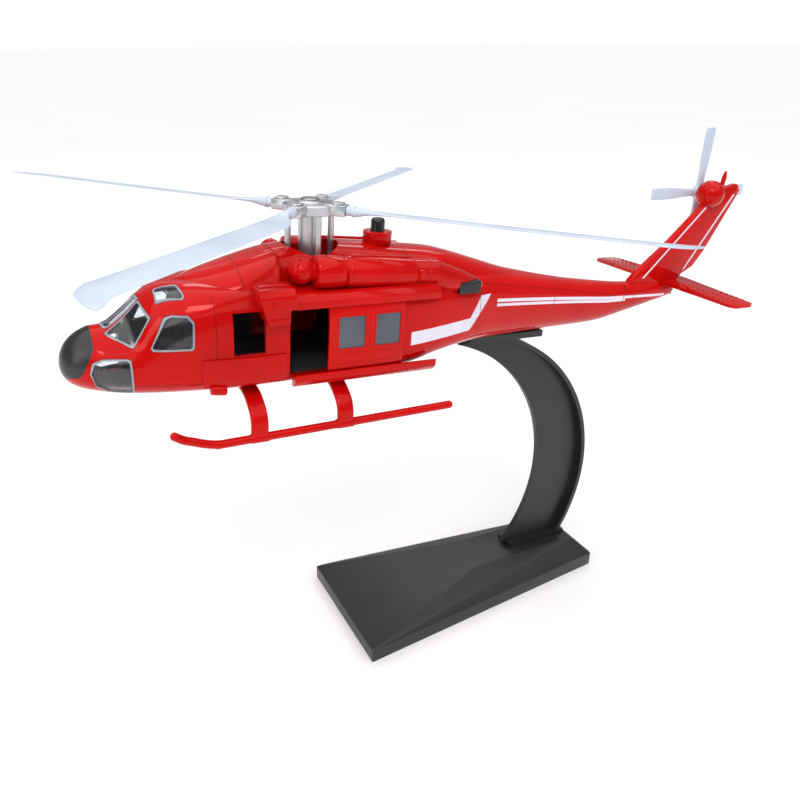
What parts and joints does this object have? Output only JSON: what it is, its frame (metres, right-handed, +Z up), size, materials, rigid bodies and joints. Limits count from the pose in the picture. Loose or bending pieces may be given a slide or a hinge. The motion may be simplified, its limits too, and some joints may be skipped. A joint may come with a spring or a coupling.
{
  "type": "helicopter scale model",
  "caption": "Red rescue helicopter display model on a curved black stand, with spinning rotors, sliding cabin doors and a roof push button.",
  "frame": {"origin": "bottom of the stand's base, under the middle of the whole model's box", "axes": "+X towards the tail, +Y to the helicopter's starboard side, +Z up"},
  "size_m": [0.2997, 0.1878, 0.1943],
  "materials": {
    "red_paint": "high gloss",
    "radome_black": "satin",
    "stand_black": "satin with a fine grain",
    "gloss_black": "gloss",
    "clear_plastic": "clear",
    "seat_grey": "matt",
    "silver_zinc": "satin cast",
    "screw_steel": "satin",
    "blade_white": "smooth satin"
  },
  "bodies": {
    "display_model": {"stand_base": "stand_black", "stand_arm": "stand_black", "nose_cone": "radome_black", "cabin_shell": "red_paint", "belly_pan": "red_paint", "roof_fairing": "red_paint", "tail_fin": "red_paint", "stabilator": "red_paint", "gearbox_dome": "red_paint", "fin_antenna": "red_paint", "windscreen": "clear_plastic", "side_window_port": "clear_plastic", "side_window_starboard": "clear_plastic", "chin_window_port": "clear_plastic", "chin_window_starboard": "clear_plastic", "roof_windows": "clear_plastic", "cabin_floor": "seat_grey", "instrument_panel": "seat_grey", "pilot_seat": "seat_grey", "copilot_seat": "seat_grey", "cabin_bench": "seat_grey", "cockpit_bulkhead": "seat_grey", "upper_rail_port": "red_paint", "upper_rail_starboard": "red_paint", "lower_rail_port": "red_paint", "lower_rail_starboard": "red_paint", "side_panel_port": "red_paint", "side_panel_starboard": "red_paint", "hoist_housing": "red_paint", "engine_port": "red_paint", "engine_starboard": "red_paint", "intake_cap_port": "red_paint", "intake_cap_starboard": "red_paint", "exhaust_port": "gloss_black", "exhaust_starboard": "gloss_black", "skid_port": "red_paint", "skid_starboard": "red_paint", "front_strut": "red_paint", "rear_strut": "red_paint", "mast_housing": "silver_zinc", "tail_rotor_pin": "screw_steel", "button_boss": "red_paint", "sound_unit": "seat_grey", "belly_screws": "screw_steel"},
    "main_rotor": {"rotor_shaft": "screw_steel", "swash_ring": "silver_zinc", "pitch_rods": "silver_zinc", "rotor_hub": "silver_zinc", "hub_bolts": "screw_steel", "blade_1": "blade_white", "blade_2": "blade_white", "blade_3": "blade_white", "blade_4": "blade_white"},
    "tail_rotor_body": {"tail_rotor": "blade_white"},
    "port_door": {"door_port": "red_paint"},
    "starboard_door": {"door_starboard": "red_paint"},
    "button": {"roof_button": "gloss_black"}
  },
  "joints": [
    {"name": "main_rotor_spin", "type": "hinge", "parent": "display_model", "child": "main_rotor", "pos_m": [-0.06124, 0, 0.17977], "axis": [0.0633, 0, 0.998], "continuous": true},
    {"name": "tail_rotor_spin", "type": "hinge", "parent": "display_model", "child": "tail_rotor_body", "pos_m": [0.12316, 0.0065, 0.16757], "axis": [0, 1, 0], "continuous": true},
    {"name": "port_door_slide", "type": "slide", "parent": "display_model", "child": "port_door", "axis": [0.998, 0, -0.0633], "range_m": [-0.014, 0.0125]},
    {"name": "starboard_door_slide", "type": "slide", "parent": "display_model", "child": "starboard_door", "axis": [0.998, 0, -0.0633], "range_m": [0, 0.0265]},
    {"name": "button_press", "type": "slide", "parent": "display_model", "child": "button", "axis": [-0.0633, 0, -0.998], "range_m": [0, 0.0012], "stiffness_N_per_m": 400}
  ]
}
